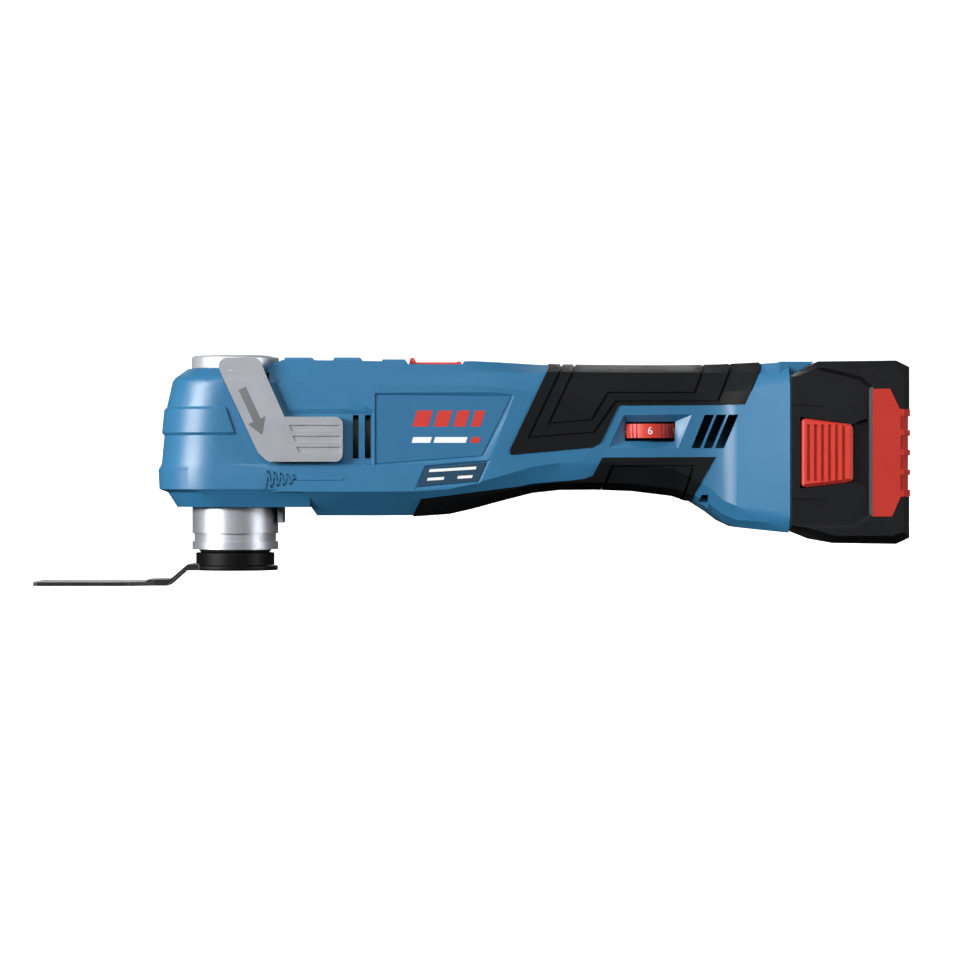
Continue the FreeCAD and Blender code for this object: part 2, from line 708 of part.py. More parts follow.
ARM = [(-7.1, 82.5), (11.6, 82.5), (22.7, 57.5), (47.2, 57.5), (47.2, 38.6), (15.7, 38.6),
       (11.6, 42.4)]
ARM_GROOVE_DEPTH = 0.6
ARM_GROOVES = [((25.6, 51.6), (46.0, 51.6), (46.0, 54.0), (24.6, 54.0)),
            ((27.0, 47.0), (46.0, 47.0), (46.0, 49.4), (26.0, 49.4)),
               ((28.6, 42.4), (46.0, 42.4), (46.0, 44.8), (27.6, 44.8))]


def build_lever():
    """The two lever arms on the sides of the head, and the camshaft that joins them."""
    inner = size("body_half_width") + size("lever_gap")
    outer = inner + size("lever_thickness")
    pivot = size("pivot_height")
    bottom, bend, top, lean = 30.0, 74.7, 83.5, 7.6
    bent_outline = [(inner, bottom), (outer, bottom), (outer, bend - 0.6),
                    (outer - lean, top), (inner - lean, top), (inner, bend)]
    for name, side in SIDES.items():
        bent = cross_prism([(side * y, z) for y, z in bent_outline], -BEYOND, BEYOND)
        arm = side_prism(rounded(ARM, 3.2), -BEYOND, BEYOND).common(bent)
        boss = rod(size("pivot_radius"), (0, side * size("lever_boss_start"), pivot),
                   (0, side * (inner + 1), pivot))
        grooves = [side_prism(groove, side * (outer - ARM_GROOVE_DEPTH), side * BEYOND)
                   for groove in ARM_GROOVES]
        feature(arm.fuse(boss).cut(grooves), "lever_arm_" + name)
    reach, half = size("lever_boss_start"), size("cam_half_width")
    throw = size("cam_throw")
    cam_x = throw * math.sin(CAM_START)
    cam_z = pivot - throw * math.cos(CAM_START)
    shaft = [rod(size("pivot_radius"), (0, side * half, pivot), (0, side * reach, pivot))
             for side in (LEFT, RIGHT)]
    cam = across(size("cam_radius"), half, cam_x, cam_z)
    feature(cam.fuse(shaft), "lever_camshaft")


# --- motor -----------------------------------------------------------------------------------


FAN_BLADES, FAN_BLADE_HALF = 11, 0.7
SHIELD_OPENINGS, SHIELD_OPENING_RADIUS, SHIELD_OPENING_PITCH = 6, 3.6, 16.6


def turned(shape, angle):
    """A copy of the shape turned about the motor's axis."""
    copy = shape.copy()
    copy.rotate(Vector(0, 0, size("motor_height")), X, angle)
    return copy


def build_stator():
    """The stator with its windings, the sleeve in front of it and the rubber damper rings."""
    motor = size("motor_height")
    start, length = size("stator_start"), size("stator_length")
    node(ring("stator", "Size.stator_radius", "Size.stator_bore", "Size.stator_length",
              (start, 0, motor), X), "motor_stator")
    winding = size("winding_length")
    hole = coaxial(size("winding_bore"), 0, FAR)
    feature(Part.makeCompound([coaxial(size("winding_radius"), at, at + winding).cut(hole)
                               for at in (start - winding, start + length)]), "motor_windings")
    node(ring("front_shield", "Size.stator_radius + 1.2", "Size.stator_radius + Size.fit", "12",
              (size("front_shield_start"), 0, motor), X), "motor_front_shield")
    for name, at in (("damper_front", 61.0), ("damper_rear", 78.0)):
        node(ring(name, "Size.stator_radius + 1.3", "Size.stator_radius + Size.fit",
                  "Size.damper_width", (at, 0, motor), X), "vibration_" + name)


def build_rotor():
    """The shaft with its eccentric pin, the bearing on it, rotor, balance weight and fan."""
    fit, lift = size("fit"), size("eccentricity")
    start, width = size("eccentric_start"), size("eccentric_width")
    pin_end = start + width + 1
    shaft_end = size("rear_bearing_start") + size("bearing_width")
    hole = coaxial(size("shaft_radius") + fit, 0, FAR)
    pin = coaxial(size("eccentric_radius"), start - 0.5, pin_end, lift)
    feature(pin.fuse(coaxial(size("shaft_radius"), pin_end, shaft_end)), "motor_shaft")
    outer = coaxial(size("eccentric_bearing_radius"), start, start + width, lift)
    feature(outer.cut(coaxial(size("eccentric_radius") + fit, 0, FAR, lift)), "eccentric_bearing")
    node(ring("rotor", "Size.rotor_radius", "Size.shaft_radius + Size.fit",
              "Size.stator_length - 2", (size("stator_start") + 1, 0, size("motor_height")), X),
         "motor_rotor")
    cut_height = size("motor_height") + 2.5
    weight = coaxial(size("weight_radius"), size("weight_start"), size("weight_end"))
    feature(weight.cut([hole, box((0, -BEYOND, cut_height), (FAR, BEYOND, FAR))]),
            "balance_weight")
    start, end = size("fan_start"), size("fan_start") + size("fan_width")
    disc = end - size("fan_disc")
    blade = box((start, size("fan_hub_radius") - 1, size("motor_height") - FAN_BLADE_HALF),
                (disc + 0.4, size("fan_radius") - 0.5, size("motor_height") + FAN_BLADE_HALF))
    blades = [turned(blade, 360.0 / FAN_BLADES * count) for count in range(FAN_BLADES)]
    fan = coaxial(size("fan_hub_radius"), start, end).fuse(
        [coaxial(size("fan_radius"), disc, end)] + blades)
    feature(fan.cut(hole), "cooling_fan")


def build_motor_bearings():
    """The motor's two bearings and the end shield that carries the rear one."""
    motor, fit = size("motor_height"), size("fit")
    for name in ("front", "rear"):
        start = size(name + "_bearing_start")
        node(ring("motor_" + name, "Size.bearing_radius",
                  "Size.shaft_radius + Size.spindle_clearance", "Size.bearing_width",
                  (start, 0, motor), X), "motor_bearing_" + name)
    rear = size("rear_bearing_start")
    end = rear + size("bearing_width") + 0.5
    opening = rod(SHIELD_OPENING_RADIUS, (0, SHIELD_OPENING_PITCH, motor),
                  (FAR, SHIELD_OPENING_PITCH, motor))
    holes = [turned(opening, 360.0 / SHIELD_OPENINGS * count) for count in range(SHIELD_OPENINGS)]
    holes += [coaxial(size("bearing_radius") + fit, rear, FAR),
              coaxial(size("bearing_radius") - 4, 0, FAR)]
    feature(coaxial(size("stator_radius"), rear - 1, end).cut(holes), "motor_end_shield")


# --- controls and electronics ---------------------------------------------------------------


# Side outlines of the slide switch: its plate, the high front edge and the low rear edge.
SLIDER_BOTTOM = SLIDER_FLOOR + 0.1
SLIDER_TOP = 81.2
SLIDER_PLATE = rectangle((77.2, SLIDER_BOTTOM), (95.4, SLIDER_TOP))
SLIDER_FRONT = [(74.6, SLIDER_BOTTOM), (75.2, 83.0), (76.8, 83.2), (77.8, 81.0),
                (77.8, SLIDER_BOTTOM)]
SLIDER_REAR = [(94.6, SLIDER_BOTTOM), (95.2, 81.6), (97.0, 81.4), (97.3, SLIDER_BOTTOM)]
SLIDER_GROOVE_START, SLIDER_GROOVE_PITCH, SLIDER_GROOVES = 80.0, 3.2, 5
SLIDER_GROOVE_WIDTH, SLIDER_GROOVE_DEPTH = 1.2, 0.4
SWITCH_ROD = rectangle((82.0, 74.2), (127.6, 77.0))
SWITCH_MODULE = rectangle((128.0, 66.0), (142.0, 76.0))
DIAL_NOTCHES, DIAL_NOTCH_RADIUS, DIAL_PLAIN_ANGLE = 40, 0.42, 24.0
BOARD_TOP = 41.6
BOARD = rectangle((128.0, -17.5), (186.0, 17.5))
SINK_START, SINK_END, SINK_HALF, SINK_HEIGHT = 134.0, 162.0, 14.0, 10.0
SINK_FINS, SINK_FIN_PITCH, SINK_FIN_WIDTH = 7, 4.4, 1.6
TERMINAL = rectangle((214.5, 34.0), (219.0, 52.0))
LENS = rectangle((18.6, 12.6), (21.0, 19.4))
LIGHT_BOARD = rectangle((20.0, 21.4), (27.4, 22.6))


def side_pad(name, outline, width):
    """A side outline padded evenly to both sides of the centre plane, as a PartDesign body."""
    return padded(name, outline, "XZ_Plane", str(width), (0, width / 2, 0))


def build_switch():
    """The slide switch on top, the rod it pulls and the switch itself."""
    half = size("slider_half_width")
    slider = side_prism(SLIDER_PLATE, -half, half).fuse(
        [side_prism(SLIDER_FRONT, -half, half), side_prism(SLIDER_REAR, -half, half)])
    grooves = []
    for count in range(SLIDER_GROOVES):
        start = SLIDER_GROOVE_START + SLIDER_GROOVE_PITCH * count
        grooves.append(box((start, 1.5 - half, SLIDER_TOP - SLIDER_GROOVE_DEPTH),
                           (start + SLIDER_GROOVE_WIDTH, half - 1.5, BEYOND + SLIDER_TOP)))
    stem = box((84.0, -3.0, 77.0), (90.2, 3.0, SLIDER_TOP - 2 * SLIDER_GROOVE_DEPTH))
    feature(slider.fuse(stem).cut(grooves), "on_off_slider")
    node(side_pad("switch_rod", SWITCH_ROD, 6), "switch_rod")
    node(side_pad("switch_module", SWITCH_MODULE, 16), "switch_module")


def build_dial():
    """The speed dial with its ribbed rim and the potentiometer that it turns."""
    x, y = size("dial_x"), size("dial_y")
    radius, bore = size("dial_radius"), size("dial_bore")
    half = size("dial_thickness") / 2
    low, high = size("dial_height") - half, size("dial_height") + half
    wheel = rod(radius, (x, y, low), (x, y, high))
    notches = []
    for count in range(DIAL_NOTCHES):
        angle = 360.0 / DIAL_NOTCHES * count
        if DIAL_PLAIN_ANGLE < angle < 360.0 - DIAL_PLAIN_ANGLE:
            notch = rod(DIAL_NOTCH_RADIUS, (x, y - radius, low - 1), (x, y - radius, high + 1))
            notch.rotate(Vector(x, y, 0), Z, angle)
            notches.append(notch)
    feature(wheel.cut(notches + [rod(bore, (x, y, low - 1), (x, y, high + 1))]), "speed_dial")
    base = box((x - 5, y - 4.5, BOARD_TOP), (x + 5, y + 4.5, low - 0.6))
    post = rod(bore - size("running"), (x, y, BOARD_TOP), (x, y, high - 1))
    feature(base.fuse(post), "dial_potentiometer")


def build_electronics():
    """The circuit board, its heat sink, the terminals and the light."""
    thickness = 1.6
    node(padded("board", BOARD, "XY_Plane", str(thickness), (0, 0, BOARD_TOP - thickness)),
         "control_board")
    plate = box((SINK_START, -SINK_HALF, BOARD_TOP), (SINK_END, SINK_HALF, BOARD_TOP + 2))
    fins = []
    for count in range(SINK_FINS):
        start = SINK_FIN_PITCH * count - SINK_HALF
        fins.append(box((SINK_START, start, BOARD_TOP),
                        (SINK_END, start + SINK_FIN_WIDTH, BOARD_TOP + SINK_HEIGHT)))
    feature(plate.fuse(fins), "heat_sink")
    node(side_pad("terminal", TERMINAL, 30), "terminal_block")
    node(side_pad("lens", LENS, 18), "worklight_lens")
    node(side_pad("light_board", LIGHT_BOARD, 16), "worklight_board")


# --- blade ------------------------------------------------------------------------------------


# The blade's side outline: flat at the hub, cranked down, then flat out to the teeth.
HUB_END, NECK_END, SHOULDER = -12.0, -34.0, -44.0
NECK_HALF = 11.0
BLADE_TEETH, TOOTH_LEAN = 20, 0.35


def blade_plan():
    """The blade seen from above: a narrow neck that widens to a row of teeth."""
    half, tip = size("blade_half_width"), size("blade_tip")
    root = tip + size("tooth_depth")
    pitch = 2 * half / BLADE_TEETH
    near = [(HUB_END, NECK_HALF), (NECK_END, NECK_HALF), (SHOULDER, half), (root, half)]
    teeth = []
    for count in range(BLADE_TEETH):
        start = half - count * pitch
        teeth += [(root, start), (tip, start - pitch * TOOTH_LEAN)]
    far = [(x, -y) for x, y in reversed(near)]
    return near[:-1] + teeth + far


def build_blade():
    """The plunge-cut blade: a hub with a flat brim, and a cranked steel blade with teeth."""
    brim_top, brim_bottom = size("brim_top"), size("brim_bottom")
    hub = upright(size("hub_radius"), brim_top, -0.12).fuse(
        upright(size("brim_radius"), brim_bottom, brim_top))
    feature(hub.cut(upright(size("hub_bore"), brim_bottom - 1, 1)), "blade_hub")
    top, bottom, tip = size("blade_top"), size("blade_bottom"), size("blade_tip")
    crank = [(HUB_END, -4.9), (-19.6, -4.9), (-27.0, -11.2), (-36.6, -11.4), (-37.4, top),
             (tip, top), (tip, bottom), (-28.2, bottom), (-20.8, brim_bottom),
             (HUB_END, brim_bottom)]
    blade = side_prism(crank, -BEYOND, BEYOND).common(plan_prism(blade_plan(), -BEYOND, BEYOND))
    feature(blade.cut(upright(size("brim_radius"), -BEYOND, 0)), "saw_blade")


# --- battery pack -----------------------------------------------------------------------------

# Corners of the pack's side outline: x, z, which way is inwards in x and in z, and how far the
# end bevel moves the corner in x and in z for each millimetre of its length.
PACK_OUTLINE = [
    (233.7, 11.1, 1, 1, 0.0, 0.3), (238.9, 9.5, 1, 1, 0.1, 0.4), (250.6, 4.8, 1, 1, 0.2, 0.6),
    (277.2, 4.4, -1, 1, 0.4, 0.7), (282.7, 7.0, -1, 1, 0.6, 0.5), (282.7, 77.7, -1, -1, 0.6, 0.5),
    (277.2, 80.4, -1, -1, 0.4, 0.7), (244.8, 80.0, 1, -1, 0.2, 0.6), (237.4, 75.9, 1, -1, 0.1, 0.4),
    (233.7, 74.6, 1, -1, 0.0, 0.3),
]
PACK_FACE = [(232.0, 12.4), (259.0, 12.4), (265.6, 16.8), (265.6, 68.8), (261.8, 72.1),
             (242.4, 77.0), (232.0, 73.2)]
PACK_CREASES = [[(233.0, 61.0), (247.0, 61.0), (247.0, 61.4), (233.0, 62.2)],
                [(233.0, 22.0), (233.0, 23.2), (247.0, 23.0), (247.0, 22.6)]]
BUTTON = [(237.4, 27.6), (259.1, 30.2), (259.1, 53.8), (237.4, 56.7)]
STRIPE_FACE = [(266.9, 15.8), (275.0, 15.8), (278.6, 24.0), (283.5, 24.0), (283.5, 60.2),
               (278.2, 60.2), (274.2, 68.6), (266.9, 68.6)]
BUMPER_RIBS = [(24.0, 26.9), (33.0, 35.2), (41.1, 43.4), (49.2, 51.5), (57.3, 60.2)]
BUMPER_BACK = 278.4
CREASE_DEPTH = 0.5
FINGER_RADIUS, FINGER_OUT = 14.0, 8.5
FINGER_CENTRE = (267.0, 42.3)
FINGER_WINDOW = rectangle((256.0, 28.0), (265.0, 56.5))
RAIL_LINING = rectangle((233.7, 20.5), (242.6, 64.5))
CHANNEL_MOUTH = rectangle((230.0, 26.9), (236.3, 58.1))
CELL_COUNT = 5
PACK_BOARD = rectangle((-40.0, 16.0), (50.0, 68.0))
CONTACTS, CONTACT_START, CONTACT_PITCH, CONTACT_LENGTH = 6, -24.0, 10.0, 3.0
BUTTON_GAP, BUTTON_CHAMFER, BUTTON_ROUNDING = 0.25, 2.0, 2.4
FLUTES, FLUTE_START, FLUTE_PITCH, FLUTE_WIDTH, FLUTE_DEPTH = 6, 240.0, 2.9, 1.3, 0.9


def pack_form(shrink=0.0):
    """The pack's outer form: its side outline with bevelled ends."""
    half = size("pack_half_length") - shrink
    bevel = 5.0 - shrink
    outline = [(x + shrink * inwards, z + shrink * up) for x, z, inwards, up, _, _ in PACK_OUTLINE]
    small = [(x + bevel * across * inwards, z + bevel * along * up)
             for (x, z), (_, _, inwards, up, across, along) in zip(outline, PACK_OUTLINE)]
    ends = [tapered_prism(outline, small, half - bevel, half, side) for side in (LEFT, RIGHT)]
    return side_prism(outline, bevel - half, half - bevel).fuse(ends)


def build_case():
    """The battery's case with the channel for the foot's rail, and the red bumper round it."""
    half, depth, wall = size("pack_half_length"), size("face_depth"), size("pack_wall")
    outer = pack_form()
    inner = pack_form(wall).common(
        box((0, wall + depth - half, 0), (FAR, half - wall - depth, FAR)))
    bumper_space = side_prism(STRIPE_FACE, -BEYOND, BEYOND).cut(
        pack_form(size("stripe_thickness")))
    button_hole = side_prism(grown(BUTTON, BUTTON_GAP), -BEYOND, -size("pack_inner_end"))
    finger_hollow = rod(FINGER_RADIUS, (*FINGER_CENTRE[:1], -half - FINGER_OUT, FINGER_CENTRE[1]),
                        (*FINGER_CENTRE[:1], 3.0 - half, FINGER_CENTRE[1])).common(
        side_prism(FINGER_WINDOW, -BEYOND, 0))
    sunk_face = tapered_prism(PACK_FACE, grown(PACK_FACE, 1.6), half - depth, half + 0.1, LEFT)
    creases = [side_prism(crease, -BEYOND, CREASE_DEPTH + depth - half) for crease in PACK_CREASES]
    lining = side_prism(RAIL_LINING, RAIL_START - wall, half).common(outer)
    entry = RAIL_START - RAIL_CLEARANCE
    channel = rail_block(RAIL_CLEARANCE, entry, BEYOND).fuse(
        side_prism(CHANNEL_MOUTH, entry, BEYOND))
    case = outer.cut(inner).fuse(lining)
    feature(case.cut([bumper_space, button_hole, finger_hollow, sunk_face, channel] + creases),
            "battery_case")
    proud = pack_form(-size("rib_height"))
    ribs = proud.common(Part.makeCompound(
        [side_prism(rectangle((0, low), (FAR, high)), -BEYOND, BEYOND)
         for low, high in BUMPER_RIBS]))
    ends = proud.cut(box((BUMPER_BACK, -BEYOND, 0), (FAR, BEYOND, FAR)))
    form = pack_form(0.5).fuse([ends] + ribs.Solids)
    feature(side_prism(grown(STRIPE_FACE, -size("running")), -BEYOND, BEYOND).common(form).common(
        bumper_space), "battery_bumper")


def build_cells():
    """The cells in a row, the board in front of them and the contacts on it."""
    pitch, length = size("cell_pitch"), size("cell_length")
    low = size("pack_middle") - length / 2
    cells = []
    for count in range(CELL_COUNT):
        y = (count - (CELL_COUNT - 1) / 2) * pitch
        cells.append(rod(size("cell_radius"), (size("cell_x"), y, low),
                         (size("cell_x"), y, low + length)))
    feature(Part.makeCompound(cells), "battery_cells")
    board_x = size("pack_board_x")
    node(padded("pack_board", PACK_BOARD, "YZ_Plane", "1.6", (board_x, 0, 0)), "battery_board")
    contacts = []
    for count in range(CONTACTS):
        y = CONTACT_START + CONTACT_PITCH * count
        contacts.append(box((board_x - CONTACT_LENGTH, y, 33.0), (board_x, y + 0.8, 52.0)))
    feature(Part.makeCompound(contacts), "battery_contacts")


def build_button():
    """The fluted release button in the pack's left end, and the latch behind it."""
    half, depth = size("pack_half_length"), size("face_depth")
    back = half - depth - size("pack_wall")
    face = half + size("button_proud") - depth
    shoulder = face - BUTTON_CHAMFER
    crown = tapered_prism(grown(BUTTON, 0.6), grown(BUTTON, -1.4), shoulder, face, LEFT)
    button = side_prism(rounded(BUTTON, BUTTON_ROUNDING), -back, -face).common(
        crown.fuse(side_prism(BUTTON, -back, -shoulder)))
    flutes = []
    for count in range(FLUTES):
        start = FLUTE_START + FLUTE_PITCH * count
        flutes.append(side_prism(rectangle((start, 30.6), (start + FLUTE_WIDTH, 53.8)),
                                 -BEYOND, FLUTE_DEPTH - face))
    feature(button.cut(flutes), "release_button")
    stem = box((238.5, -back, 39.0), (241.0, 6.0 - back, 45.0))
    feature(stem.fuse(box((238.0, 6.0 - back, 36.0), (241.0, 9.0 - back, 48.0))), "button_latch")


# --- the whole tool ---------------------------------------------------------------------------


def checked():
    """Recomputes the document and stops at the first failed object or bad shape."""
    doc.recompute()
    for item in doc.Objects:
        if {"Invalid", "Error"} & set(item.State):
            raise RuntimeError(f"{item.Name} failed: {item.State}")
    for item in nodes:
        if item.Shape.isNull() or not item.Shape.isValid() or not item.Shape.Solids:
            raise RuntimeError(f"{item.Label} has no valid solid")


def export():
    """Writes one STEP file for each sub-part."""
    os.makedirs("parts", exist_ok=True)
    for item in nodes:
        item.Shape.exportStep(os.path.join("parts", item.Label + ".step"))
        print(item.Label, len(item.Shape.Solids), round(item.Shape.Volume, 1))


build_casing()
build_plates()
build_screws()
build_gear_housing()
build_spindle()
build_clamp()
build_lever()
build_stator()
build_rotor()
build_motor_bearings()
build_switch()
build_dial()
build_electronics()
build_blade()
build_case()
build_cells()
build_button()
checked()
export()
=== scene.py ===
import json
import math

import bmesh
import bpy
from mathutils import Matrix, Vector


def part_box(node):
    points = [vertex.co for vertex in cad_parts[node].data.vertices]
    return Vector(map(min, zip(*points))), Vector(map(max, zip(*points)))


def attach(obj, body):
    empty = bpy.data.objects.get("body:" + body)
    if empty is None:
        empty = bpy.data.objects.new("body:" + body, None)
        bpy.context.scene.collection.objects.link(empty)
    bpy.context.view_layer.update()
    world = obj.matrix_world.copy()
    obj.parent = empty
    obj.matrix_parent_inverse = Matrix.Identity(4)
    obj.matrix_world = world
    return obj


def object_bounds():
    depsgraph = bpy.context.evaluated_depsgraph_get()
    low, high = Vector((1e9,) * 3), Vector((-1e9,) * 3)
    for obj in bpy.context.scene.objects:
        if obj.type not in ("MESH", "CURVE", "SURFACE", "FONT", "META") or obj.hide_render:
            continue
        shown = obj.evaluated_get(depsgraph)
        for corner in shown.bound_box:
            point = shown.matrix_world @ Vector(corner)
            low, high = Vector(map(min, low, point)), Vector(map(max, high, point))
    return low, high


# A cordless oscillating multi tool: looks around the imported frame.  Metres, +X from the
# blade back to the battery, -Y the tool's left side, +Z up, origin at the tool holder.

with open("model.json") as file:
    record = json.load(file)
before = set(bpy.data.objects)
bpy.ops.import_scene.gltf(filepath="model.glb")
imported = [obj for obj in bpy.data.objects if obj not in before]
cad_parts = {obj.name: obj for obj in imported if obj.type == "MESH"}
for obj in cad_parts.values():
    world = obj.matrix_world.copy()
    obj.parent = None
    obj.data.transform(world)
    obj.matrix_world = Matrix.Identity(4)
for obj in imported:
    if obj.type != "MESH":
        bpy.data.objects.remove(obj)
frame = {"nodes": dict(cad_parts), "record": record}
cad_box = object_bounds()
NODES = frame["nodes"]
MM = 0.001
LEFT, RIGHT = -1, 1
RELEASE_ROOM = 44 * MM
FLOOR_Z = cad_box[0][2] - RELEASE_ROOM
CREASE_ANGLE = math.radians(24)
FLAT_ANGLE = math.radians(0.5)
WELD_DISTANCE = 0.002 * MM
PRINT_THICKNESS = 0.06 * MM
CAMERA_DISTANCE = 1.5
CAMERA_AIM = Vector((105.0 * MM, 0.0, 30.9 * MM))    # the middle of the tool's side
VIEW_WIDTH = 412 * MM
SENSOR = 36.0
FLOOR_GLOW = 0.85
SKY = 0.11
GROUND = 0.02
FADE_FROM, FADE_TO = -0.5, 0.7    # heights of the view direction between ground and sky
LIGHTS_AIM = (0.1, 0.0, 0.04)

# Each light's name, place, width, height and power in watts.
LIGHTS = [
    ("key_light", (-1.25, -0.9, 0.40), 0.9, 0.5, 42),
    ("front_light", (-0.1, -1.4, 0.75), 1.0, 0.3, 6),
    ("rim_light", (1.3, -0.55, 0.25), 0.4, 0.5, 9),
    ("top_light", (0.1, -0.25, 1.3), 1.6, 0.35, 2),
    ("back_light", (0.2, 1.3, 0.7), 1.2, 0.5, 11),
]


# --- materials -------------------------------------------------------------------------------

# How much rougher or smoother the patches are, and how worn edges are found and broken up.
SMOOTHEST, ROUGHEST = 0.9, 1.12
EDGE_STARTS, EDGE_FULL = 0.995, 0.93
WEAR_PATCHES_PER_METRE = 700.0
WEAR_LEAST, WEAR_MOST = 0.3, 1.5


class Look:
    """A Principled material with helpers for grain, mottling and worn edges."""

    def __init__(self, name, colour, roughness, metallic=0.0, specular=0.5):
        self.material = bpy.data.materials.new(name)
        self.material.use_nodes = True
        self.tree = self.material.node_tree
        self.shader = self.tree.nodes["Principled BSDF"]
        self.colour = (*colour, 1.0)
        self.roughness = roughness
        self.set("Base Color", self.colour)
        self.set("Roughness", roughness)
        self.set("Metallic", metallic)
        self.set("Specular IOR Level", specular)
        self.place = self.add("ShaderNodeTexCoord").outputs["Object"]

    def set(self, socket, value):
        self.shader.inputs[socket].default_value = value

    def add(self, kind, **values):
        node = self.tree.nodes.new(kind)
        for socket, value in values.items():
            node.inputs[socket.replace("_", " ")].default_value = value
        return node

    def link(self, output, target):
        self.tree.links.new(output, target)

    def noise(self, per_metre, detail=3.0):
        node = self.add("ShaderNodeTexNoise", Scale=per_metre, Detail=detail)
        self.link(self.place, node.inputs["Vector"])
        return node.outputs["Fac"]

    def spread(self, source, low, high):
        """A 0 to 1 source mapped to the range from low to high."""
        node = self.add("ShaderNodeMapRange", To_Min=low, To_Max=high)
        self.link(source, node.inputs["Value"])
        return node.outputs["Result"]

    def mottle(self, per_metre, amount):
        """Faint lighter and darker patches in the colour and the roughness."""
        source = self.noise(per_metre)
        shade = self.spread(source, 1.0 - amount, 1.0 + amount)
        mix = self.add("ShaderNodeMix")
        mix.data_type, mix.blend_type = "RGBA", "MULTIPLY"
        mix.inputs[0].default_value = 1.0
        mix.inputs[6].default_value = self.colour
        self.link(shade, mix.inputs[7])
        self.tint = mix.outputs[2]
        self.link(self.tint, self.shader.inputs["Base Color"])
        rough = self.spread(source, self.roughness * SMOOTHEST, self.roughness * ROUGHEST)
        self.link(rough, self.shader.inputs["Roughness"])
        return self

    def grain(self, per_metre, height, detail=2.0):
        """Fine moulded or blasted texture, as a bump of that height."""
        bump = self.add("ShaderNodeBump", Strength=1.0, Distance=height)
        self.link(self.noise(per_metre, detail), bump.inputs["Height"])
        self.link(bump.outputs["Normal"], self.shader.inputs["Normal"])
        return self

    def worn_edges(self, colour, width, amount=0.8):
        """Edges rubbed to another colour over about that width."""
        bevel = self.add("ShaderNodeBevel", Radius=width)
        bevel.samples = 4
        normal = self.add("ShaderNodeNewGeometry").outputs["Normal"]
        dot = self.add("ShaderNodeVectorMath")
        dot.operation = "DOT_PRODUCT"
        self.link(bevel.outputs["Normal"], dot.inputs[0])
        self.link(normal, dot.inputs[1])
        edge = self.add("ShaderNodeMapRange", From_Min=EDGE_STARTS, From_Max=EDGE_FULL,
                        To_Min=0.0, To_Max=amount)
        self.link(dot.outputs["Value"], edge.inputs["Value"])
        patches = self.add("ShaderNodeMath")
        patches.operation = "MULTIPLY"
        self.link(edge.outputs["Result"], patches.inputs[0])
        wear = self.spread(self.noise(WEAR_PATCHES_PER_METRE), WEAR_LEAST, WEAR_MOST)
        self.link(wear, patches.inputs[1])
        mix = self.add("ShaderNodeMix")
        mix.data_type = "RGBA"
        self.link(patches.outputs["Value"], mix.inputs[0])
        self.link(self.tint, mix.inputs[6])
        mix.inputs[7].default_value = (*colour, 1.0)
        self.link(mix.outputs[2], self.shader.inputs["Base Color"])
        return self


def make_looks():
    """Every material of the tool, by name."""
    looks = {
        "casing": Look("casing_blue", (0.026, 0.145, 0.285), 0.38).mottle(60, 0.04)
        .grain(2600, 3e-5),
        "plate": Look("plate_blue", (0.023, 0.130, 0.262), 0.38).mottle(60, 0.04)
        .grain(3200, 1.5e-5),
        "badge": Look("badge_dark", (0.010, 0.045, 0.085), 0.42).mottle(80, 0.05)
        .grain(3200, 1.5e-5),
        "grip": Look("grip_rubber", (0.0038, 0.0042, 0.0050), 0.58, specular=0.16).mottle(90, 0.08)
        .grain(2200, 6e-5),
        "case": Look("pack_black", (0.0060, 0.0064, 0.0076), 0.46, specular=0.28).mottle(70, 0.06)
        .grain(2300, 5e-5),
        "black": Look("inner_black", (0.010, 0.010, 0.011), 0.55).mottle(70, 0.06)
        .grain(1800, 4e-5),
        "red": Look("accent_red", (0.60, 0.042, 0.026), 0.42).mottle(70, 0.04).grain(2600, 3e-5),
        "bumper": Look("bumper_red", (0.46, 0.024, 0.014), 0.45).mottle(70, 0.05)
        .grain(2400, 4e-5),
        "diecast": Look("diecast_alloy", (0.48, 0.50, 0.54), 0.40, 0.75).mottle(140, 0.05)
        .grain(3600, 4e-5),
        "cap": Look("cap_alloy", (0.48, 0.50, 0.53), 0.42, 0.5).mottle(140, 0.04)
        .grain(3600, 2e-5),
        "steel": Look("ground_steel", (0.56, 0.56, 0.58), 0.3, 1.0).mottle(200, 0.06)
        .grain(4000, 1e-5),
        "hub": Look("hub_black", (0.003, 0.003, 0.0035), 0.45, specular=0.12).mottle(120, 0.08)
        .grain(2400, 3e-5),
        "blade": Look("blade_black", (0.012, 0.012, 0.013), 0.42, 0.2).mottle(160, 0.2)
        .grain(2400, 3e-5).worn_edges((0.42, 0.43, 0.45), 0.5 * MM),
        "lens": Look("lens_grey", (0.42, 0.45, 0.48), 0.25).mottle(100, 0.05).grain(1500, 2e-5),
        "copper": Look("winding_copper", (0.62, 0.25, 0.10), 0.35, 1.0).mottle(300, 0.15)
        .grain(1500, 1e-4),
        "brass": Look("brass", (0.72, 0.55, 0.22), 0.3, 1.0).mottle(200, 0.08).grain(2500, 1e-5),
        "board": Look("circuit_board", (0.02, 0.14, 0.05), 0.4).mottle(120, 0.1).grain(1500, 2e-5),
        "cells": Look("cell_wrap", (0.05, 0.22, 0.45), 0.35).mottle(100, 0.06).grain(1200, 1e-5),
        "print_white": Look("print_white", (0.75, 0.77, 0.79), 0.5).mottle(90, 0.03)
        .grain(3000, 1e-5),
        "mark_grey": Look("mark_grey", (0.22, 0.23, 0.24), 0.45, 0.8).mottle(90, 0.05)
        .grain(3000, 1e-5),
        "print_red": Look("print_red", (0.50, 0.030, 0.022), 0.45).mottle(90, 0.03)
        .grain(3000, 1e-5),
    }
    return {name: look.material for name, look in looks.items()}


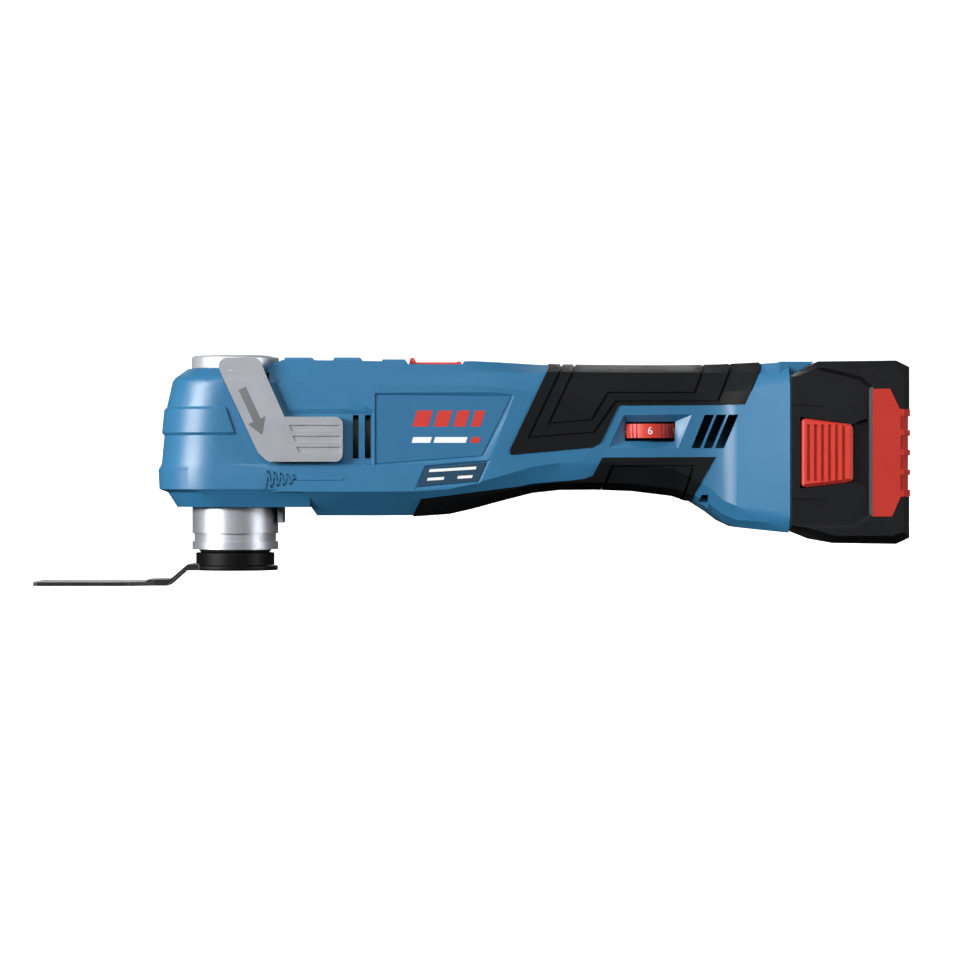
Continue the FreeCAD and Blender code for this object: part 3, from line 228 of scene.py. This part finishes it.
# The look of each material slot of the record, and of two nodes that differ from their slot.
SLOT_LOOKS = {
    "casing": "casing", "grip": "grip", "plate": "plate", "badge": "badge",
    "steel_screw": "steel", "diecast": "diecast", "cap": "cap", "bearing": "steel",
    "stator": "steel", "copper": "copper", "damper": "grip", "shield": "black",
    "shaft": "steel", "rotor": "steel", "weight": "brass", "fan": "black", "red": "red",
    "black": "black", "board": "board", "sink": "diecast", "lens": "lens", "blade": "blade",
    "case": "case", "cells": "cells", "contact": "brass",
}
NODE_LOOKS = {"battery_bumper": "bumper", "blade_hub": "hub"}

# Width in millimetres of the moulded or machined rounding on each node's edges.
EDGE_ROUNDING = {
    "housing_left": 0.45, "housing_right": 0.45, "upper_grip_left": 0.4, "upper_grip_right": 0.4,
    "lower_grip_left": 0.4, "lower_grip_right": 0.4, "label_plate_left": 0.2,
    "label_plate_right": 0.2, "badge_left": 0.2, "badge_right": 0.2, "gear_housing": 0.3,
    "gear_housing_cap": 0.3, "lever_arm_left": 0.4, "lever_arm_right": 0.4,
    "on_off_slider": 0.3, "tool_holder": 0.2, "blade_hub": 0.4, "saw_blade": 0.12,
    "battery_case": 0.7, "battery_bumper": 0.5, "release_button": 0.4, "speed_dial": 0.15,
    "worklight_lens": 0.4, "housing_screws": 0.25,
}


def round_edges(thing, width):
    """Rounded edges and clean shading, by modifiers on top of the untouched CAD mesh."""
    faces = thing.data.polygons
    faces.foreach_set("use_smooth", [True] * len(faces))
    weld = thing.modifiers.new("weld", "WELD")
    weld.merge_threshold = WELD_DISTANCE
    merge = thing.modifiers.new("merge", "DECIMATE")
    merge.decimate_type = "DISSOLVE"
    merge.angle_limit = FLAT_ANGLE
    bevel = thing.modifiers.new("rounding", "BEVEL")
    bevel.width = width * MM
    bevel.segments = 2
    bevel.limit_method = "ANGLE"
    bevel.angle_limit = CREASE_ANGLE
    bevel.use_clamp_overlap = True
    bevel.harden_normals = True
    shade = thing.modifiers.new("shading", "WEIGHTED_NORMAL")
    shade.keep_sharp = True
    shade.weight = 80


def dress_nodes(looks):
    """Each CAD node gets its material, and rounded edges where they show."""
    slots = {part["node"]: part["material_slot"] for part in frame["record"]["subparts"]}
    for name, thing in NODES.items():
        thing.data.materials.clear()
        thing.data.materials.append(looks[SLOT_LOOKS[slots[name]]])
        if name in NODE_LOOKS:
            thing.data.materials[0] = looks[NODE_LOOKS[name]]
        if name in EDGE_ROUNDING:
            round_edges(thing, EDGE_ROUNDING[name])


# --- printed and raised marks ------------------------------------------------------------------


def outer_face(node, side):
    """How far a node's outer face lies from the centre plane, on one side of the tool."""
    low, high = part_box(node)
    return high.y if side == RIGHT else low.y


def side_mark(name, outline, face, side, thickness, look, body):
    """A thin piece on the tool's side: an outline of (x, z) millimetres, standing on a face."""
    mesh = bpy.data.meshes.new(name)
    mark = bpy.data.objects.new(name, mesh)
    bpy.context.scene.collection.objects.link(mark)
    form = bmesh.new()
    sunk, proud = face - side * thickness, face + side * thickness
    backs = [form.verts.new((x * MM, sunk, z * MM)) for x, z in outline]
    fronts = [form.verts.new((x * MM, proud, z * MM)) for x, z in outline]
    form.faces.new(backs)
    form.faces.new(fronts)
    for count in range(len(outline)):
        after = (count + 1) % len(outline)
        form.faces.new((backs[count], backs[after], fronts[after], fronts[count]))
    bmesh.ops.recalc_face_normals(form, faces=form.faces)
    form.to_mesh(mesh)
    form.free()
    mesh.materials.append(look)
    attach(mark, body)


def leaning_bar(start, end, bottom, top, lean):
    """A bar whose ends lean forwards by lean from bottom to top."""
    return [(start, bottom), (end, bottom), (end + lean, top), (start + lean, top)]


# The marks on the label: red bars that get narrower towards the back, a white line under them
# and a small red block.
RED_BARS = [(76.4, 83.2), (85.4, 91.4), (93.6, 98.8), (101.0, 105.2)]
RED_BAR_HEIGHTS = (53.4, 60.2)
WHITE_BARS = [(76.2, 84.0), (85.4, 99.0)]
WHITE_BAR_HEIGHTS = (46.6, 49.0)
RED_BLOCK = [(100.8, 46.6), (104.6, 46.6), (105.4, 49.0), (101.6, 49.0)]

# Three leaning bars on the badge, each as its corners.
BADGE_BARS = [((83.4, 34.2), (103.2, 35.4), (103.6, 36.6), (83.8, 35.4)),
              ((82.6, 30.6), (89.6, 31.0), (90.0, 32.2), (83.0, 31.8)),
              ((95.4, 31.4), (101.6, 31.8), (102.0, 33.0), (95.8, 32.6))]


def mark_labels(looks):
    """Plain bars in place of any lettering, on both sides of the tool."""
    for name, side in (("left", LEFT), ("right", RIGHT)):
        face = outer_face("label_plate_" + name, side)
        bottom, top = RED_BAR_HEIGHTS
        for count, (start, end) in enumerate(RED_BARS):
            side_mark(f"label_red_{name}_{count}", leaning_bar(start, end, bottom, top, 2.0), face,
                      side, PRINT_THICKNESS, looks["print_red"], "tool_body")
        bottom, top = WHITE_BAR_HEIGHTS
        for count, (start, end) in enumerate(WHITE_BARS):
            side_mark(f"label_white_{name}_{count}", leaning_bar(start, end, bottom, top, 0.7),
                      face, side, PRINT_THICKNESS, looks["print_white"], "tool_body")
        side_mark("label_block_" + name, RED_BLOCK, face, side, PRINT_THICKNESS,
                  looks["print_red"], "tool_body")
        face = outer_face("badge_" + name, side)
        for count, bar in enumerate(BADGE_BARS):
            side_mark(f"badge_bar_{name}_{count}", bar, face, side, PRINT_THICKNESS,
                      looks["print_white"], "tool_body")


# The raised zigzag, in millimetres along and up the head.
WAVE_START = 14.2
WAVE_STEP = 1.35
WAVE_MIDDLE = 31.2
WAVE_SWING = 3.7
WAVE_WIDTH = 0.62
WAVE_CORNERS = 10
WAVE_SHRINK = 0.92
WAVE_TAIL = 47.0
WAVE_RISE = 0.5 * MM
WAVE_FACE = 26.0 * MM


def wave_path():
    """Corners of a zigzag that dies away into a straight tail, in millimetres."""
    path, swing = [], WAVE_SWING
    for corner in range(WAVE_CORNERS):
        up = 1 if corner % 2 else -1
        path.append(Vector((WAVE_START + corner * WAVE_STEP, WAVE_MIDDLE + up * swing)))
        swing *= WAVE_SHRINK
    path.append(Vector((path[-1].x + WAVE_STEP / 2, WAVE_MIDDLE)))
    path.append(Vector((WAVE_TAIL, WAVE_MIDDLE)))
    return path


def stroke(start, end, width):
    """The outline of a straight stroke with square ends."""
    along = (end - start).normalized() * width / 2
    across = Vector((-along.y, along.x))
    start, end = start - along, end + along
    return [tuple(start + across), tuple(end + across), tuple(end - across),
            tuple(start - across)]


def raise_waves(looks):
    """A raised zigzag on the lower head, on both sides."""
    path = wave_path()
    for name, side in (("left", LEFT), ("right", RIGHT)):
        for count, (start, end) in enumerate(zip(path, path[1:])):
            side_mark(f"wave_{name}_{count}", stroke(start, end, WAVE_WIDTH), side * WAVE_FACE,
                      side, WAVE_RISE, looks["casing"], "tool_body")


# An arrow that follows the lever's slanted arm and shows which way it opens.
LEVER_ARROW = [(3.4, 68.8), (9.6, 55.4), (7.4, 54.4), (13.4, 49.8), (14.8, 57.8), (12.6, 56.8),
               (6.4, 70.2)]


def mark_levers(looks):
    """A generic arrow on each lever arm."""
    for name, side in (("left", LEFT), ("right", RIGHT)):
        side_mark("lever_arrow_" + name, LEVER_ARROW, outer_face("lever_arm_" + name, side), side,
                  PRINT_THICKNESS, looks["mark_grey"], "lever")


DIAL_STEPS = 6
DIAL_STEP_ANGLE = math.radians(60)
DIGIT_HEIGHT = 4.6 * MM
DIGIT_RISE = 0.1 * MM


def number_dial(looks):
    """The figures 1 to 6 round the speed dial's rim; 6 faces out at rest."""
    low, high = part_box("speed_dial")
    middle = (low + high) / 2
    radius = (high.x - low.x) / 2
    for step in range(DIAL_STEPS):
        text = bpy.data.curves.new(f"figure_{DIAL_STEPS - step}", "FONT")
        text.body = str(DIAL_STEPS - step)
        text.size = DIGIT_HEIGHT
        text.extrude = DIGIT_RISE
        text.align_x, text.align_y = "CENTER", "CENTER"
        text.materials.append(looks["print_white"])
        figure = bpy.data.objects.new(text.name, text)
        bpy.context.scene.collection.objects.link(figure)
        turn = Matrix.Rotation(-step * DIAL_STEP_ANGLE, 4, "Z")
        upright = Matrix.Rotation(math.pi / 2, 4, "X")
        figure.matrix_world = (Matrix.Translation(middle) @ turn
                               @ Matrix.Translation((0, -radius, 0)) @ upright)
        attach(figure, "dial")


# The screws' places on the right side, (x, z) in millimetres.
SCREW_PLACES = [(30.0, 76.0), (70.0, 21.5), (122.0, 60.0), (160.0, 67.5), (200.0, 33.0),
                (212.0, 68.5)]
SCREW_SOCKET_RADIUS = 1.3
SCREW_SOCKET_WAIST = 0.62
SCREW_SOCKET_POINTS = 12
SCREW_SOCKET_RISE = 0.04 * MM


def paint_screw_socket_shade(looks):
    """A black six-pointed star on each of the casing's screw heads: painted shade in place of a
    sunk socket.
    """
    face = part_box("housing_screws")[1].y
    for count, (x, z) in enumerate(SCREW_PLACES):
        star = []
        for point in range(SCREW_SOCKET_POINTS):
            radius = SCREW_SOCKET_RADIUS * (1.0 if point % 2 == 0 else SCREW_SOCKET_WAIST)
            angle = 2 * math.pi * point / SCREW_SOCKET_POINTS
            star.append((x + radius * math.cos(angle), z + radius * math.sin(angle)))
        # painted shade: a flat black star standing on the steel head, where a real socket would be
        # a dark hollow
        side_mark(f"screw_socket_shade_{count}", star, face, RIGHT, SCREW_SOCKET_RISE, looks["black"],
                  "tool_body")


# --- stage, light and camera ------------------------------------------------------------------


# The stage's section in metres: where the floor starts, where it bends up and its top.
STAGE_NEAR = -1.6
STAGE_BEND = 1.2
STAGE_RADIUS = 0.6
STAGE_TOP = 3.0
STAGE_HALF_WIDTH = 4.0
STAGE_STEPS = 8


def stage_profile():
    """Points (y, height) along the floor, round the bend and up the backdrop."""
    profile = [(STAGE_NEAR, 0.0)]
    for step in range(STAGE_STEPS + 1):
        angle = step * math.pi / 2 / STAGE_STEPS
        profile.append((STAGE_BEND + STAGE_RADIUS * math.sin(angle),
                        STAGE_RADIUS - STAGE_RADIUS * math.cos(angle)))
    profile.append((STAGE_BEND + STAGE_RADIUS, STAGE_TOP))
    return profile


def make_stage():
    """A pale floor, low enough for the released blade, that curves up into a backdrop.

    It is clear when it is seen from below.
    """
    profile = stage_profile()
    mesh = bpy.data.meshes.new("floor")
    points = [(side * STAGE_HALF_WIDTH, y, FLOOR_Z + z) for y, z in profile for side in (-1, 1)]
    faces = [(2 * row, 2 * row + 1, 2 * row + 3, 2 * row + 2) for row in range(len(profile) - 1)]
    mesh.from_pydata(points, [], faces)
    floor = bpy.data.objects.new("floor", mesh)
    bpy.context.scene.collection.objects.link(floor)
    pale = Look("floor_pale", (0.9, 0.9, 0.9), 0.8, specular=0.1)
    pale.set("Emission Color", (1.0, 1.0, 1.0, 1.0))
    pale.set("Emission Strength", FLOOR_GLOW)
    clear = pale.add("ShaderNodeBsdfTransparent").outputs["BSDF"]
    one_sided = pale.add("ShaderNodeMixShader")
    pale.link(pale.add("ShaderNodeNewGeometry").outputs["Backfacing"], one_sided.inputs[0])
    pale.link(pale.shader.outputs["BSDF"], one_sided.inputs[1])
    pale.link(clear, one_sided.inputs[2])
    pale.link(one_sided.outputs["Shader"],
              pale.tree.nodes["Material Output"].inputs["Surface"])
    mesh.materials.append(pale.material)
    floor.visible_diffuse = False
    floor.visible_glossy = False


def area_light(name, place, width, height, power):
    """A rectangular light that points at the tool."""
    light = bpy.data.lights.new(name, "AREA")
    light.shape = "RECTANGLE"
    light.size, light.size_y = width, height
    light.energy = power
    thing = bpy.data.objects.new(name, light)
    thing.location = place
    way = Vector(LIGHTS_AIM) - Vector(place)
    thing.rotation_euler = way.to_track_quat("-Z", "Y").to_euler()
    bpy.context.scene.collection.objects.link(thing)


def make_surround():
    """A dim sky over darker ground, which the camera itself sees as plain white."""
    world = bpy.data.worlds.new("studio")
    world.use_nodes = True
    tree = world.node_tree
    split = tree.nodes.new("ShaderNodeSeparateXYZ")
    tree.links.new(tree.nodes.new("ShaderNodeTexCoord").outputs["Generated"], split.inputs[0])
    fade = tree.nodes.new("ShaderNodeMapRange")
    fade.inputs["From Min"].default_value = FADE_FROM
    fade.inputs["From Max"].default_value = FADE_TO
    fade.inputs["To Min"].default_value = GROUND
    fade.inputs["To Max"].default_value = SKY
    tree.links.new(split.outputs["Z"], fade.inputs["Value"])
    plain = tree.nodes.new("ShaderNodeMix")
    plain.inputs["B"].default_value = 1.0
    ray = tree.nodes.new("ShaderNodeLightPath")
    tree.links.new(ray.outputs["Is Camera Ray"], plain.inputs["Factor"])
    tree.links.new(fade.outputs["Result"], plain.inputs["A"])
    surround = tree.nodes["Background"]
    surround.inputs["Color"].default_value = (1, 1, 1, 1)
    tree.links.new(plain.outputs["Result"], surround.inputs["Strength"])
    bpy.context.scene.world = world


def make_lights():
    """A broad soft light from the front left, weaker ones round it, and the surround."""
    for light in LIGHTS:
        area_light(*light)
    make_surround()
    bpy.context.scene.view_settings.view_transform = "Standard"


def make_camera():
    """A long lens, level with the middle of the tool's side."""
    lens = bpy.data.cameras.new("camera")
    lens.sensor_width = SENSOR
    lens.lens = SENSOR * CAMERA_DISTANCE / VIEW_WIDTH
    lens.clip_end = 20
    camera = bpy.data.objects.new("camera", lens)
    camera.location = CAMERA_AIM - Vector((0, CAMERA_DISTANCE, 0))
    camera.rotation_euler = (math.pi / 2, 0, 0)
    bpy.context.scene.collection.objects.link(camera)
    bpy.context.scene.camera = camera


make_camera()
make_lights()
make_stage()
all_looks = make_looks()
dress_nodes(all_looks)
mark_labels(all_looks)
raise_waves(all_looks)
mark_levers(all_looks)
number_dial(all_looks)
paint_screw_socket_shade(all_looks)
